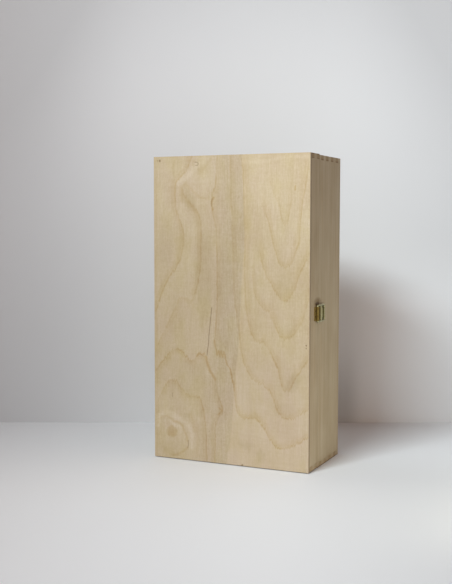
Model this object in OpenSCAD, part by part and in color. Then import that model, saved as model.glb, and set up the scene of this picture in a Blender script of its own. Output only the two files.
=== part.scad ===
// Two-bottle wooden wine box, standing on end.
// A comb-jointed frame is faced with plywood front and back, glued up closed,
// and then sawn apart, so the lid and the base share one run of fingers.
// Origin: middle of the face that the box stands on. +Z up, -Y the front face,
// +X the side with the latch, -X the side with the hinges. Millimetres.

/* [Box] */
// Width across the front face
box_w = 186; // [150:1:260]
// Height of the front face
box_h = 340; // [260:1:420]
// Depth of the comb-jointed frame before it is sawn apart
frame_d = 95; // [80:1:130]
// Depth of frame that goes to the lid
lid_frame_d = 24.6; // [19:0.1:32]
// Wood that the saw takes away between the lid and the base
saw_kerf = 3.2; // [1.6:0.1:4.5]
// Gap between the sawn rims when the box is shut
lid_gap = 0.3; // [0.1:0.05:1]
// How much higher than the base the hinges hold the lid
lid_rise = 0.8; // [0.3:0.1:1.5]

/* [Boards] */
// Thickness of the frame's solid boards
board_t = 5.2; // [4.4:0.1:9]
// Thickness of the plywood panels
panel_t = 4; // [3:0.1:6]
// Width of one finger of the comb joint
finger_w = 8.2; // [5:0.1:12]
// Glue line at the bottom of each comb slot
glue_line = 0.2; // [0.05:0.05:0.4]
// Thickness of the board between the bottles
divider_t = 5; // [4:0.1:8]
// Depth of the housings that hold the divider in the end boards
housing_d = 1.6; // [1:0.1:2.5]
// Clearance on each face of the divider in its housings
housing_fit = 0.1; // [0.05:0.05:0.3]
// How far the divider's front edge lies behind the base's rim
divider_setback = 1; // [0.5:0.5:10]

/* [Hinges] */
// Height of each hinge
hinge_h = 25; // [20:1:40]
// Distance from the middle of a hinge to the end of the box
hinge_inset = 60; // [40:1:90]
// Width of one leaf, from the pin's axis
leaf_w = 11; // [9:0.5:15]
// Thickness of the leaves
leaf_t = 0.8; // [0.6:0.1:1.2]
// Diameter of the hinge pins
hinge_pin_d = 1.8; // [1.4:0.1:2.6]
// Radial clearance of a pin in its knuckles
hinge_pin_fit = 0.05; // [0.02:0.01:0.1]
// End play between neighbouring knuckles
knuckle_gap = 0.3; // [0.2:0.05:0.6]
// Clearance between the knuckles and the wood
knuckle_lift = 0.2; // [0.1:0.05:0.5]
// Radius of the leaves' outer corners
leaf_corner_r = 1.5; // [0.5:0.1:3]
// How far the pins' peened heads reach past the pins, and their height
pin_head = 0.5; // [0.2:0.1:0.8]

/* [Latch] */
// Height of the latch plate's barrel
barrel_h = 15; // [12:0.5:20]
// Thickness of the latch's sheet metal
sheet_t = 0.7; // [0.5:0.1:1]
// Diameter of the bail's wire
wire_d = 2; // [1.6:0.1:2.4]
// Radial clearance of the wire in the barrel
wire_fit = 0.1; // [0.05:0.01:0.2]
// Clearance between the barrel and the wood
barrel_lift = 0.1; // [0.05:0.05:0.4]
// Distance from the middle of the split to the bail's pivot, on the lid
pivot_setback = 8.3; // [5:0.1:10]
// Width of the latch plate's flange in front of the barrel
flange_w = 3.6; // [3.2:0.1:7]
// Length of the bail, from the pivot to the middle of its far bar
bail_l = 21.8; // [19:0.1:27]
// Centre-line radius of the two bends at the pivot
pivot_bend_r = 1.3; // [1.25:0.05:1.4]
// Centre-line radius of the two bends at the far bar
far_bend_r = 2.4; // [1.5:0.1:4]
// Gap where the wire's two ends meet inside the barrel
wire_end_gap = 0.6; // [0.3:0.1:2]
// Clearance between the bail's arms and the ends of the barrel
arm_gap = 0.3; // [0.2:0.05:0.6]
// Distance from the middle of the split to the catch plate's front edge
catch_setback = 1.6; // [1:0.1:2.5]
// Height of the catch plate
catch_h = 14.6; // [11.5:0.1:15]
// Distance that the catch plate runs on behind the bail's far bar
catch_tail = 5; // [3.5:0.1:8]
// Height of the catch plate's folded bead above the wood
bead_p = 3.1; // [2.8:0.1:3.6]
// Depth of the fold's upper leg behind its bend
bead_leg = 0.4; // [0.2:0.1:2.5]
// Height of the spring tab that holds the far bar
tab_h = 10; // [6:0.5:11]
// How far the tab stands out past the middle of the far bar
tab_reach = 0.7; // [0.3:0.1:1]
// Clearance between the tab and the far bar
tab_gap = 0.25; // [0.15:0.05:0.5]
// Inside radius of the tab's bend
tab_bend_in = 0.5; // [0.3:0.1:0.8]
// Width of the slits that free the tab's ends from the plate
tab_slit = 0.3; // [0.2:0.1:0.5]
// Radius of the plates' outer corners
plate_corner_r = 1.2; // [0.5:0.1:2]

/* [Nails] */
// Diameter of the nails' shanks
nail_d = 1.2; // [0.9:0.1:1.4]
// Diameter of the nails' round heads
nail_head_d = 2.4; // [2:0.1:2.6]
// Height of the nails' heads
nail_head_h = 0.7; // [0.5:0.1:1]
// How deep the nails go into the wood
nail_depth = 3.9; // [3:0.1:4.2]
// Radial clearance of a shank in its hole in the metal
nail_fit = 0.1; // [0.05:0.05:0.2]
// Radial clearance of a shank in the wood
wood_fit = 0.02; // [0.01:0.01:0.05]
// How much deeper than the nails their holes go
hole_extra = 0.1; // [0.05:0.05:0.5]
// Margin from a nail's head to the long edge of its hinge leaf
leaf_margin = 2.2; // [1:0.1:3]
// Margin from a nail's head to the end of its hinge leaf
leaf_end_margin = 2.5; // [1:0.1:4]
// Margin from the latch plate's nail heads to its barrel
barrel_margin = 0.3; // [0.2:0.1:1]
// Distance from the middle of the latch to each of its plate's nails
plate_nail_w = 3; // [2.5:0.1:5]
// Distance from the middle of the latch to each of the catch plate's nails
catch_nail_w = 4; // [2.5:0.1:5]

/* [Hidden] */
$fn = 48;
dome_fn = 96;

// Overshoot of a cutting shape, the thinnest sliver of wood that is worth keeping, and the
// slit that stays open where a rolled edge closes on its own flat
cut = 1;
sliver = 0.4;
slit = 0.25;

// Depths, measured back from the front face of the closed frame
base_frame_0 = lid_frame_d + saw_kerf;
box_d = 2 * panel_t + frame_d - saw_kerf + lid_gap;
front_y = -box_d / 2;
frame_y = front_y + panel_t;
base_shift = lid_gap - saw_kerf;
split_y = frame_y + lid_frame_d + lid_gap / 2;
base_rim_y = split_y + lid_gap / 2;
back_y = front_y + box_d;
finger_n = ceil(frame_d / finger_w);

// Hinges
pin_r = hinge_pin_d / 2;
knuckle_bore_r = pin_r + hinge_pin_fit;
knuckle_r = knuckle_bore_r + leaf_t;
hinge_axis_p = knuckle_lift + knuckle_r;
knuckle_n = 3;
knuckle_h = (hinge_h - (knuckle_n - 1) * knuckle_gap) / knuckle_n;
hinge_z = [box_h - hinge_inset, hinge_inset];
leaf_root = knuckle_r + knuckle_gap;

// Latch, at half the height of the box
wire_r = wire_d / 2;
barrel_bore_r = wire_r + wire_fit;
barrel_r = barrel_bore_r + sheet_t;
pivot_p = barrel_lift + barrel_r;
pivot_u = -pivot_setback;
far_u = pivot_u + bail_l;
arm_w = barrel_h / 2 + arm_gap + wire_r;
bead_r = bead_p / 2;
tab_u = far_u - wire_r - tab_gap;
tab_bend_r = sheet_t + tab_bend_in;
tab_foot_u = tab_u - tab_bend_r;
tab_p = pivot_p + tab_reach;
catch_end_u = far_u + catch_tail;
latch_z = box_h / 2;

// Nails: places on each plate, as [distance back from the split, height]
nail_r = nail_d / 2;
nail_head_r = nail_head_d / 2;
leaf_nail_u = leaf_w - leaf_margin - nail_head_r;
leaf_nail_z = hinge_h / 2 - leaf_end_margin - nail_head_r;
leaf_nails = [for (z = hinge_z) for (side = [-1, 1]) [leaf_nail_u, z + side * leaf_nail_z]];
lid_leaf_nails = [for (place = leaf_nails) [-place[0], place[1]]];
plate_nail_u = pivot_u - barrel_r - barrel_margin - nail_head_r;
plate_nails = [for (side = [-1, 1]) [plate_nail_u, latch_z + side * plate_nail_w]];
catch_nail_u = (catch_setback + bead_r + bead_leg + tab_foot_u) / 2;
catch_nails = [for (side = [-1, 1]) [catch_nail_u, latch_z + side * catch_nail_w]];

panel_colour = "#d8c4a0";
board_colour = "#b7a27c";
inner_colour = "#cbb48c";
brass_colour = "#b59a55";
steel_colour = "#a8a38e";

// --- Comb joint ---------------------------------------------------------------

// The spans of every second finger, from number first, that fall between depths f0 and f1.
// A span that reaches f0 or f1 runs on past it, so that it can be cut away.
function spans(first, f0, f1) = [
    for (k = [first : 2 : finger_n - 1])
        let (s0 = k * finger_w, s1 = (k + 1) * finger_w)
        if (min(s1, f1) - max(s0, f0) > sliver)
            [s0 < f0 + sliver ? f0 - cut : s0, s1 > f1 - sliver ? f1 + cut : s1]];

// Outline of a side board between two depths: slots for the end boards' fingers at both ends
module side_outline(f0, f1) {
    slot_d = board_t + glue_line;
    difference() {
        translate([f0, 0]) square([f1 - f0, box_h]);
        for (span = spans(0, f0, f1), z = [-cut, box_h - slot_d])
            translate([span[0], z]) square([span[1] - span[0], slot_d + cut]);
    }
}

// Outline of an end board between two depths: slots for the side boards' fingers at both ends
module end_outline(f0, f1) {
    slot_d = board_t + glue_line;
    difference() {
        translate([-box_w / 2, f0]) square([box_w, f1 - f0]);
        for (span = spans(1, f0, f1), x = [-box_w / 2 - cut, box_w / 2 - slot_d])
            translate([x, span[0]]) square([slot_d + cut, span[1] - span[0]]);
    }
}

// A side board against the left (side = -1) or right (side = 1) face, with its nail holes
module side_board(side, f0, f1, shift, rise, nails) {
    difference() {
        translate([side * (box_w - board_t) / 2 - board_t / 2, frame_y + shift, rise])
            rotate([90, 0, 90]) linear_extrude(board_t) side_outline(f0, f1);
        at_nails(side, nails) nail_hole();
    }
}

module end_board(z, f0, f1, shift) {
    translate([0, frame_y + shift, z]) linear_extrude(board_t) end_outline(f0, f1);
}

// The groove in a base end board that takes the divider's end
module housing(z) {
    w = divider_t + 2 * housing_fit;
    translate([-w / 2, base_rim_y - cut, z]) cube([w, box_d, housing_d + cut]);
}

module panel(y, rise) {
    translate([-box_w / 2, y, rise]) cube([box_w, panel_t, box_h]);
}

// --- Nails --------------------------------------------------------------------

// Puts a nail that points into the wood at each place on the left or right face
module at_nails(side, places) {
    for (place = places)
        translate([side * box_w / 2, split_y + place[0], place[1]]) rotate([0, side * 90, 0]) children();
}

module nail(seat) {
    translate([0, 0, -nail_depth]) cylinder(r = nail_r, h = nail_depth + seat);
    translate([0, 0, seat]) rotate_extrude() dome_outline(nail_head_r, nail_head_h);
}

// Half section of a domed head: an arc that falls from the crown to the rim
module dome_outline(rim, height) {
    dome_r = (rim * rim + height * height) / (2 * height);
    intersection() {
        translate([0, height - dome_r]) circle(dome_r, $fn = dome_fn);
        square([rim, height]);
    }
}

module nail_hole() {
    depth = nail_depth + hole_extra;
    translate([0, 0, -depth]) cylinder(r = nail_r + wood_fit, h = depth + cut);
}

module plate_hole() {
    translate([0, 0, -cut]) cylinder(r = nail_r + nail_fit, h = 2 * cut);
}

// --- Rolled sheet, drawn in plan ----------------------------------------------
// In these outlines X is the distance out from the wood, and Y the distance back from the split.

// A sheet's edge that is rolled round a pin: the flat runs off towards +Y
module rolled_edge(bore_r, t, lift, flat_w) {
    out_r = bore_r + t;
    square([t, flat_w]);
    translate([lift + out_r, 0]) difference() {
        circle(out_r);
        circle(bore_r);
        translate([t - lift - out_r, bore_r / 2]) square([slit, out_r]);
    }
}

// A flat plate with its two corners at the +Y end rounded, lying on the wood
module corner_plate(t, y0, y1, h, r) {
    rotate([0, -90, 0]) mirror([0, 0, 1]) linear_extrude(t) {
        translate([-h / 2, y0]) square([h, y1 - r - y0]);
        translate([-h / 2 + r, y0]) square([h - 2 * r, y1 - y0]);
        for (side = [-1, 1]) translate([side * (h / 2 - r), y1 - r]) circle(r);
    }
}

// --- Hinges -------------------------------------------------------------------

module at_hinge(z) {
    translate([-box_w / 2, split_y, z]) mirror([1, 0, 0]) children();
}

module knuckles(numbers) {
    for (k = numbers) translate([0, 0, -hinge_h / 2 + k * (knuckle_h + knuckle_gap)])
        linear_extrude(knuckle_h) rolled_edge(knuckle_bore_r, leaf_t, knuckle_lift, leaf_root + cut);
}

module hinge_leaf(numbers) {
    corner_plate(leaf_t, leaf_root, leaf_w, hinge_h, leaf_corner_r);
    knuckles(numbers);
}

module hinge_base_leaf(z) {
    color(brass_colour) difference() {
        at_hinge(z) hinge_leaf([0, 2]);
        at_nails(-1, leaf_nails) plate_hole();
    }
}

module hinge_lid_leaf(z) {
    color(brass_colour) difference() {
        at_hinge(z) mirror([0, 1, 0]) hinge_leaf([1]);
        at_nails(-1, lid_leaf_nails) plate_hole();
    }
}

// A pin with both ends peened over into low domes
module hinge_pin(z) {
    color(steel_colour) at_hinge(z) translate([hinge_axis_p, 0, 0]) {
        cylinder(r = pin_r, h = hinge_h, center = true);
        for (end = [0, 1]) mirror([0, 0, end]) translate([0, 0, hinge_h / 2])
            rotate_extrude() dome_outline(pin_r + pin_head, pin_head);
    }
}

// --- Latch --------------------------------------------------------------------

module at_latch() {
    translate([box_w / 2, split_y, latch_z]) children();
}

// Sheet-metal plate on the lid: a nailed flange whose rear edge is rolled round the bail
module latch_plate() {
    color(brass_colour) difference() {
        at_latch() translate([0, pivot_u, 0]) mirror([0, 1, 0]) {
            corner_plate(sheet_t, 0, barrel_r + flange_w, barrel_h, plate_corner_r);
            translate([0, 0, -barrel_h / 2]) linear_extrude(barrel_h)
                rolled_edge(barrel_bore_r, sheet_t, barrel_lift, cut);
        }
        at_nails(1, plate_nails) plate_hole();
    }
}

// Half of the bail, above the middle of the latch: a wire bent twice
module bail_half() {
    translate([0, 0, wire_end_gap / 2]) cylinder(r = wire_r, h = arm_w - pivot_bend_r - wire_end_gap / 2);
    translate([0, pivot_bend_r, arm_w - pivot_bend_r]) bend(pivot_bend_r, 90);
    translate([0, pivot_bend_r, arm_w]) rotate([-90, 0, 0])
        cylinder(r = wire_r, h = bail_l - pivot_bend_r - far_bend_r);
    translate([0, bail_l - far_bend_r, arm_w - far_bend_r]) bend(far_bend_r, 0);
    translate([0, bail_l, 0]) cylinder(r = wire_r, h = arm_w - far_bend_r);
}

// A quarter turn of wire in the plane of the bail, from the angle start to a right angle on
module bend(r, start) {
    rotate([0, -90, 0]) rotate([0, 0, start == 0 ? 0 : -90]) rotate_extrude(angle = 90)
        translate([r, 0]) circle(wire_r);
}

module latch_bail() {
    color(brass_colour) at_latch() translate([pivot_p, pivot_u, 0])
        for (half = [0, 1]) mirror([0, 0, half]) bail_half();
}

// The catch plate's fold in plan: flat, bend and upper leg
module bead_outline() {
    translate([0, catch_setback + bead_r]) {
        square([sheet_t, cut]);
        difference() {
            translate([bead_r, 0]) circle(bead_r);
            translate([bead_r, 0]) circle(bead_r - sheet_t);
            translate([-cut, 0]) square([bead_p + 2 * cut, bead_r + cut]);
        }
        translate([bead_p - sheet_t, 0]) square([sheet_t, bead_leg]);
    }
}

// The spring tab in plan: cut free behind the bead, and bent up in front of the far bar
module tab_outline() {
    translate([0, tab_foot_u - cut]) square([sheet_t, cut]);
    translate([tab_bend_r, tab_foot_u]) intersection() {
        difference() {
            circle(tab_bend_r);
            circle(tab_bend_in);
        }
        translate([-tab_bend_r, 0]) square(tab_bend_r);
    }
    translate([tab_bend_r, tab_u - sheet_t]) square([tab_p - tab_bend_r, sheet_t]);
}

// The window that the tab leaves in the plate, as long as the tab is when it is bent flat
module tab_window() {
    window_h = tab_h + 2 * tab_slit;
    translate([-cut, tab_foot_u, -window_h / 2]) cube([2 * cut, tab_p, window_h]);
}

// Sheet-metal plate on the base, folded back over itself into a bead, with a spring tab behind it
module catch_plate() {
    color(brass_colour) difference() {
        at_latch() {
            difference() {
                corner_plate(sheet_t, catch_setback + bead_r, catch_end_u, catch_h, plate_corner_r);
                tab_window();
            }
            translate([0, 0, -catch_h / 2]) linear_extrude(catch_h) bead_outline();
            translate([0, 0, -tab_h / 2]) linear_extrude(tab_h) tab_outline();
        }
        at_nails(1, catch_nails) plate_hole();
    }
}

// --- Wood ---------------------------------------------------------------------

module front_panel() { color(panel_colour) panel(front_y, lid_rise); }
module back_panel() { color(panel_colour) panel(back_y - panel_t, 0); }

module lid_left_side() {
    color(board_colour) side_board(-1, 0, lid_frame_d, 0, lid_rise, lid_leaf_nails);
}
module lid_right_side() {
    color(board_colour) side_board(1, 0, lid_frame_d, 0, lid_rise, plate_nails);
}
module lid_top_end() {
    color(board_colour) end_board(box_h - board_t + lid_rise, 0, lid_frame_d, 0);
}
module lid_bottom_end() {
    color(board_colour) end_board(lid_rise, 0, lid_frame_d, 0);
}

module base_left_side() {
    color(board_colour) side_board(-1, base_frame_0, frame_d, base_shift, 0, leaf_nails);
}
module base_right_side() {
    color(board_colour) side_board(1, base_frame_0, frame_d, base_shift, 0, catch_nails);
}
module base_top_end() {
    color(board_colour) difference() {
        end_board(box_h - board_t, base_frame_0, frame_d, base_shift);
        housing(box_h - board_t - cut);
    }
}
module base_bottom_end() {
    color(board_colour) difference() {
        end_board(0, base_frame_0, frame_d, base_shift);
        housing(board_t - housing_d);
    }
}

module bottle_divider() {
    inset = board_t - housing_d + housing_fit;
    y0 = base_rim_y + divider_setback;
    color(inner_colour) translate([-divider_t / 2, y0, inset])
        cube([divider_t, back_y - panel_t - y0, box_h - 2 * inset]);
}

// --- Assembly -----------------------------------------------------------------

module upper_hinge_lid_leaf() { hinge_lid_leaf(hinge_z[0]); }
module upper_hinge_base_leaf() { hinge_base_leaf(hinge_z[0]); }
module upper_hinge_pin() { hinge_pin(hinge_z[0]); }
module lower_hinge_lid_leaf() { hinge_lid_leaf(hinge_z[1]); }
module lower_hinge_base_leaf() { hinge_base_leaf(hinge_z[1]); }
module lower_hinge_pin() { hinge_pin(hinge_z[1]); }
module hinge_lid_nails() { color(steel_colour) at_nails(-1, lid_leaf_nails) nail(leaf_t); }
module hinge_base_nails() { color(steel_colour) at_nails(-1, leaf_nails) nail(leaf_t); }
module latch_plate_nails() { color(steel_colour) at_nails(1, plate_nails) nail(sheet_t); }
module catch_plate_nails() { color(steel_colour) at_nails(1, catch_nails) nail(sheet_t); }

front_panel();
lid_left_side();
lid_right_side();
lid_top_end();
lid_bottom_end();
back_panel();
base_left_side();
base_right_side();
base_top_end();
base_bottom_end();
bottle_divider();
upper_hinge_lid_leaf();
upper_hinge_base_leaf();
upper_hinge_pin();
lower_hinge_lid_leaf();
lower_hinge_base_leaf();
lower_hinge_pin();
hinge_lid_nails();
hinge_base_nails();
latch_plate();
latch_plate_nails();
latch_bail();
catch_plate();
catch_plate_nails();
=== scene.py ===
"""Looks of the two-bottle wooden wine box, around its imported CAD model.

Lengths are in millimetres in this script and become metres where Blender gets them. Every pattern
is made of shader nodes in the CAD model's own coordinates, so it stays with its board in any pose.
"""
import math

import bpy
from mathutils import Matrix, Vector


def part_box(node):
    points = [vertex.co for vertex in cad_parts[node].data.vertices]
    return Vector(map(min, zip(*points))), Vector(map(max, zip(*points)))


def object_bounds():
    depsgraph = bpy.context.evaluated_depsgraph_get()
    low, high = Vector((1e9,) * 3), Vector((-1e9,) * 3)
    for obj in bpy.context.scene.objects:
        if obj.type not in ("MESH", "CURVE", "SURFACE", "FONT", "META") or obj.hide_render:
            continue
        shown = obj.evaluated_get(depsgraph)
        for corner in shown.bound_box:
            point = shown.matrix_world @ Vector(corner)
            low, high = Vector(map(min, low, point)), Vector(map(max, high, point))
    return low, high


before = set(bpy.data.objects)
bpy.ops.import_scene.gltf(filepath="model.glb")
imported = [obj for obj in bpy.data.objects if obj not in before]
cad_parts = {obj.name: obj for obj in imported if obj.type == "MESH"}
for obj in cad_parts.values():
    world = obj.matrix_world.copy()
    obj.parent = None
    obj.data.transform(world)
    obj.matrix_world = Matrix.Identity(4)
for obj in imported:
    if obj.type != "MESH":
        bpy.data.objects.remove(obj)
cad_low, cad_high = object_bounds()

MM = 0.001
LOW = {node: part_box(node)[0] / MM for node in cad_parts}
HIGH = {node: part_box(node)[1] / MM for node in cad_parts}
X, Y, Z = 0, 1, 2


# ---------------------------------------------------------------- shader nodes as formulas

def linear(red, green, blue):
    """A colour as it looks on the screen, 0 to 255, as the numbers that a shader needs."""
    def channel(c):
        c = c / 255
        return c / 12.92 if c <= 0.04045 else ((c + 0.055) / 1.055) ** 2.4
    return (channel(red), channel(green), channel(blue), 1.0)


BELL_REACH = 1.8  # where a bell ends, counted in its own widths


class Value:
    """A number in a node tree. Formulas with it add the nodes that work them out."""

    def __init__(self, board, socket):
        self.board, self.socket = board, socket

    def _with(self, operation, *others):
        return self.board.math(operation, self, *others)

    def __add__(self, other):
        return self._with("ADD", other)

    def __sub__(self, other):
        return self._with("SUBTRACT", other)

    def __mul__(self, other):
        return self._with("MULTIPLY", other)

    def __truediv__(self, other):
        return self._with("DIVIDE", other)

    def __neg__(self):
        return self._with("MULTIPLY", -1)

    def squared(self):
        return self._with("MULTIPLY", self)

    def root(self):
        return self._with("SQRT")

    def fraction(self):
        return self._with("FRACT")

    def size(self):
        return self._with("ABSOLUTE")

    def at_most(self, other):
        return self._with("MINIMUM", other)

    def at_least(self, other):
        return self._with("MAXIMUM", other)

    def rise(self, start, end):
        """0 up to start, 1 from end on, and smooth between them. It falls if end < start."""
        return self.board.rise(self, start, end)

    def within(self, start, end):
        """1 between two soft limits and 0 outside them, each limit as the two ends of its rise."""
        return self.rise(*start) * self.rise(*end)

    def lifted(self, least):
        """1 stays 1, and 0 becomes least."""
        return self * (1 - least) + least

    def bell(self, width):
        """1 where the value is 0, fading out within nearly two widths on both sides."""
        return self.size().rise(width * BELL_REACH, 0.0)


class Board:
    """A node tree that is filled in by formulas."""

    def __init__(self, tree):
        self.tree = tree

    def node(self, kind, **settings):
        node = self.tree.nodes.new(kind)
        for name, value in settings.items():
            setattr(node, name, value)
        return node

    def plug(self, socket, value):
        if isinstance(value, Value):
            value = value.socket
        if isinstance(value, bpy.types.NodeSocket):
            self.tree.links.new(value, socket)
        elif socket.type == "VECTOR":
            socket.default_value = value[:3]
        else:
            socket.default_value = value

    def math(self, operation, *values):
        node = self.node("ShaderNodeMath", operation=operation)
        for socket, value in zip(node.inputs, values):
            self.plug(socket, value)
        return Value(self, node.outputs[0])

    def vector(self, operation, *values):
        """A sum with vectors. Its result is a vector, or a number for DOT_PRODUCT and DISTANCE."""
        node = self.node("ShaderNodeVectorMath", operation=operation)
        sockets = [node.inputs[0], node.inputs["Scale" if operation == "SCALE" else 1]]
        for socket, value in zip(sockets, values):
            self.plug(socket, value)
        if operation in ("DOT_PRODUCT", "DISTANCE"):
            return Value(self, node.outputs["Value"])
        return node.outputs["Vector"]

    def join(self, *values):
        """Three values as one vector."""
        node = self.node("ShaderNodeCombineXYZ")
        for socket, value in zip(node.inputs, values):
            self.plug(socket, value)
        return node.outputs[0]

    def rise(self, value, start, end):
        node = self.node("ShaderNodeMapRange", interpolation_type="SMOOTHSTEP", clamp=False)
        for socket, given in zip(node.inputs, (value, start, end)):
            self.plug(socket, given)
        return Value(self, node.outputs["Result"])

    def step(self, tree, *values):
        """The results of a shared step, which is a node group."""
        node = self.node("ShaderNodeGroup", node_tree=tree)
        for socket, value in zip(node.inputs, values):
            self.plug(socket, value)
        return [Value(self, socket) for socket in node.outputs]


def shared_step(name, inputs, results, formula):
    """Makes a step that materials share. inputs maps each input's name to its kind of socket, and
    formula gets the step's board and those inputs."""
    tree = bpy.data.node_groups.new(name, "ShaderNodeTree")
    for title, kind in inputs.items():
        tree.interface.new_socket(title, in_out="INPUT", socket_type="NodeSocket" + kind)
    for title in results:
        tree.interface.new_socket(title, in_out="OUTPUT", socket_type="NodeSocketFloat")
    board = Board(tree)
    sockets = board.node("NodeGroupInput").outputs
    given = [Value(board, socket) if kind == "Float" else socket
             for socket, kind in zip(sockets, inputs.values())]
    worked_out = formula(board, *given)
    for socket, value in zip(board.node("NodeGroupOutput").inputs, worked_out):
        board.plug(socket, value)
    return tree


def from_line(board, point, start, line):
    """Distance from a point to a straight line that begins at start."""
    offset = board.vector("SUBTRACT", point, start)
    share = board.vector("DOT_PRODUCT", offset, line) / board.vector("DOT_PRODUCT", line, line)
    nearest = board.vector("SCALE", line, share.at_most(1).at_least(0))
    return [board.vector("DISTANCE", offset, nearest)]


OVAL_REACH = 1.7  # where an oval's soft edge ends, as the square of a share of its half size


def oval(board, point, middle, along, across):
    """1 in the middle of an oval with soft edges. along and across are its axes, each as long as
    one over its half size."""
    offset = board.vector("SUBTRACT", point, middle)
    far = [board.vector("DOT_PRODUCT", offset, axis).squared() for axis in (along, across)]
    return [(far[0] + far[1]).rise(OVAL_REACH, 0.0)]


# A ring line's slope is taken over RING_STEP, and its ends fade over RING_END on either side.
# A faint second line, its echo, runs beside it.
RING_STEP, RING_END = 1.0, 3.0
ECHO_AWAY, ECHO_WIDTH, ECHO_STRENGTH = 3.4, 1.1, 0.22


def ring(board, along, across, here, ahead, first, last, width, reach, side):
    """A ring line from its height here and RING_STEP ahead: how strongly the line and its echo
    show, and how strongly the stain on one side of the line does."""
    slope = (ahead - here) / RING_STEP
    away = (across - here) * side / (slope.squared() + 1).root()
    start, end = (first - RING_END, first + RING_END), (last + RING_END, last - RING_END)
    length = along.within(start, end)
    echo = (away - ECHO_AWAY).bell(ECHO_WIDTH) * ECHO_STRENGTH
    stain = away.rise(-width, width) * away.rise(reach, 0.0)
    return [(away.bell(width) + echo) * length, stain * length]


FROM_LINE = shared_step("from_line", dict(point="Vector", start="Vector", line="Vector"),
                        ["distance"], from_line)
OVAL = shared_step("oval", dict(point="Vector", middle="Vector", along="Vector", across="Vector"),
                   ["inside"], oval)
RING = shared_step("ring", dict.fromkeys(("along", "across", "here", "ahead", "first", "last",
                                          "width", "reach", "side"), "Float"),
                   ["line", "stain"], ring)


DULL = 0.3  # the specular level of wood and of paper

# How high the relief of each surface stands
VENEER_RELIEF, FIBRE_RELIEF, FLECK_RELIEF = 0.03, 0.06, 0.03
BRASS_RELIEF, PAPER_RELIEF = 0.012, 0.02

# Sockets of a Mix node for colours, whose names aren't unique
MIX_FACTOR, MIX_FIRST, MIX_SECOND, MIX_RESULT = 0, 6, 7, 2


class Paint(Board):
    """One material. Its node tree is filled in by formulas."""

    def __init__(self, name):
        self.material = bpy.data.materials.new(name)
        self.material.use_nodes = True
        super().__init__(self.material.node_tree)
        self.tree.nodes.clear()

    def apart(self, vector):
        """A vector as three values."""
        node = self.node("ShaderNodeSeparateXYZ")
        self.plug(node.inputs[0], vector)
        return [Value(self, socket) for socket in node.outputs]

    def place(self):
        """The point on the part, in millimetres of the CAD frame, as three values."""
        metres = self.node("ShaderNodeTexCoord").outputs["Object"]
        return self.apart(self.vector("SCALE", metres, 1 / MM))

    def facing(self):
        """The surface's direction, as three values."""
        return self.apart(self.node("ShaderNodeTexCoord").outputs["Normal"])

    def stroke(self, point, places, width):
        """1 on a line drawn through places, each (x, z), fading out on both sides."""
        places = [Vector((x, 0, z)) for x, z in places]
        nearest = None
        for start, end in zip(places, places[1:]):
            distance, = self.step(FROM_LINE, point, start, end - start)
            nearest = distance.at_most(nearest) if nearest else distance
        return nearest.bell(width)

    def patch(self, point, middle, half_size, tilt):
        """1 in the middle of a tilted oval with soft edges, and 0 outside it."""
        turn, tip = math.cos(math.radians(tilt)), math.sin(math.radians(tilt))
        along = Vector((turn, 0, tip)) / half_size[0]
        across = Vector((-tip, 0, turn)) / half_size[1]
        return self.step(OVAL, point, Vector((middle[0], 0, middle[1])), along, across)[0]

    def noise(self, point, cell, detail=2.0, roughness=0.5):
        """Smooth noise, 0 to 1 with its middle at 0.5. cell is its grain size along each axis."""
        cells = self.vector("DIVIDE", self.join(*point), cell)
        node = self.node("ShaderNodeTexNoise", noise_dimensions="3D")
        self.plug(node.inputs["Vector"], cells)
        node.inputs["Scale"].default_value = 1.0
        node.inputs["Detail"].default_value = detail
        node.inputs["Roughness"].default_value = roughness
        return Value(self, node.outputs[0])

    def curve(self, value, points, reach, top):
        """A smooth curve through given points. value runs from 0 to reach, the result from
        0 to top."""
        node = self.node("ShaderNodeFloatCurve")
        node.mapping.extend = "HORIZONTAL"
        line = node.mapping.curves[0]
        places = [(a / reach, b / top) for a, b in sorted(points)]
        for place in places[1:-1]:
            line.points.new(*place)
        for point, place in zip(line.points, places):
            point.location = place
            point.handle_type = "AUTO_CLAMPED"
        node.mapping.update()
        self.plug(node.inputs["Value"], value / reach)
        return Value(self, node.outputs[0]) * top

    def mix(self, factor, first, second, blend="MIX"):
        """Colour first where factor is 0 and second where it is 1."""
        node = self.node("ShaderNodeMix", data_type="RGBA", blend_type=blend)
        self.plug(node.inputs[MIX_FACTOR], factor)
        self.plug(node.inputs[MIX_FIRST], first)
        self.plug(node.inputs[MIX_SECOND], second)
        return node.outputs[MIX_RESULT]

    def stain(self, colour, amount, tint):
        """Colour multiplied by tint where amount is 1."""
        return self.mix(amount, colour, (*tint, 1.0), "MULTIPLY")

    def relief(self, height):
        """The normal of a surface that rises by height, in millimetres."""
        node = self.node("ShaderNodeBump")
        node.inputs["Strength"].default_value = 1.0
        node.inputs["Distance"].default_value = MM
        self.plug(node.inputs["Height"], height)
        return node.outputs[0]

    def surface(self, colour, roughness, normal, metallic=0.0, specular=0.5):
        """Ends the material with its shader."""
        shader = self.node("ShaderNodeBsdfPrincipled")
        self.plug(shader.inputs["Base Color"], colour)
        self.plug(shader.inputs["Roughness"], roughness)
        self.plug(shader.inputs["Normal"], normal)
        shader.inputs["Metallic"].default_value = metallic
        shader.inputs["Specular IOR Level"].default_value = specular
        output = self.node("ShaderNodeOutputMaterial")
        self.plug(output.inputs["Surface"], shader.outputs[0])
        return self.material


def wear(name, material):
    """Gives a CAD node its material."""
    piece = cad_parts[name]
    piece.data.materials.clear()
    piece.data.materials.append(material)


# ---------------------------------------------------------------- front panel: one sheet of veneer

PANEL_W = HIGH["front_panel"][X] - LOW["front_panel"][X]
PANEL_H = HIGH["front_panel"][Z] - LOW["front_panel"][Z]

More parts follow.
